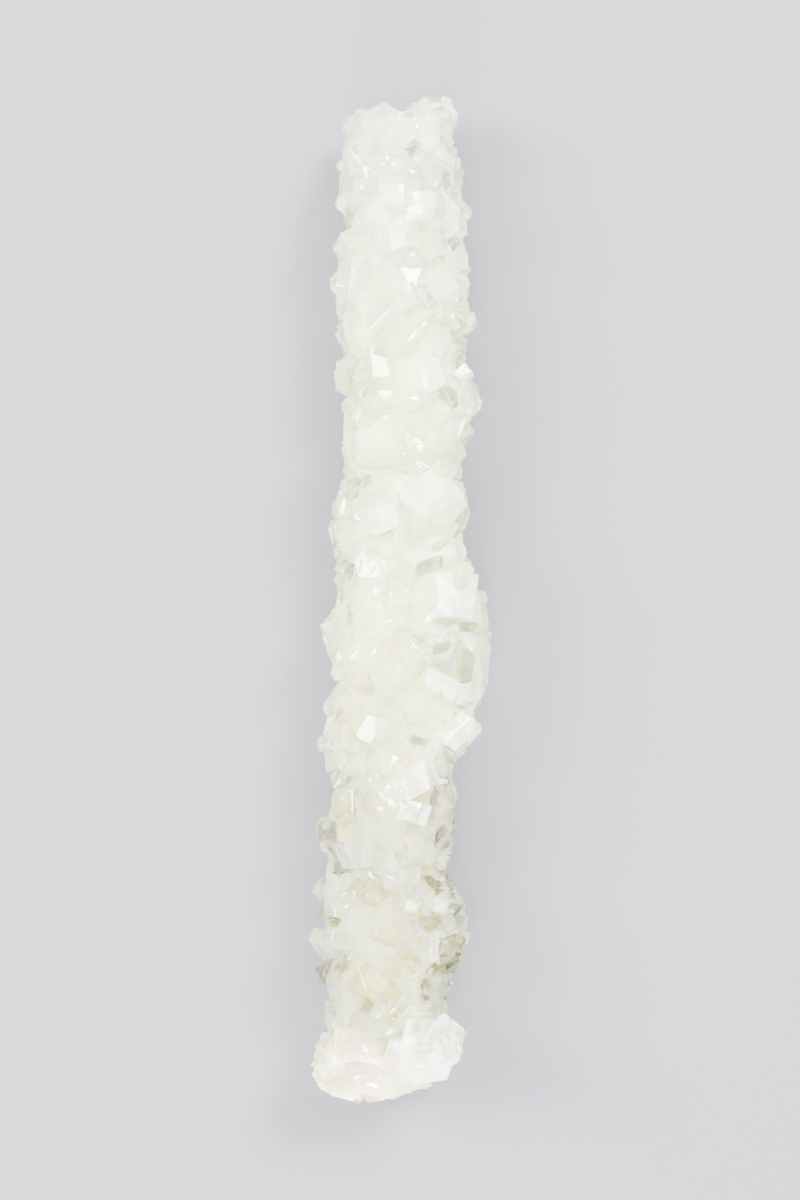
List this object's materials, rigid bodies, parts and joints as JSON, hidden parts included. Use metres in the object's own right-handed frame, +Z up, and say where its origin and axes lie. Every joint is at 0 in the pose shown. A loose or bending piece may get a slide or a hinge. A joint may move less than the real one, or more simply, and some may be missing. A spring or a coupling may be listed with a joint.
{
  "type": "rock candy stick",
  "caption": "Rough stick of translucent white rock sugar: a rod of intergrown crystals, grown at one end and broken off glassy at the other, lying on small flats.",
  "frame": {"origin": "middle of the stick's footprint, on the surface it lies on", "axes": "+Y along the stick towards its grown end, +X across it, +Z up out of the side that shows"},
  "size_m": [0.0292, 0.1604, 0.0227],
  "materials": {
    "crystal_sugar": "milky, translucent crystallised sugar with glossy crystal faces and clearer tips"
  },
  "bodies": {
    "root": {"rock_candy": "crystal_sugar"}
  },
  "joints": []
}
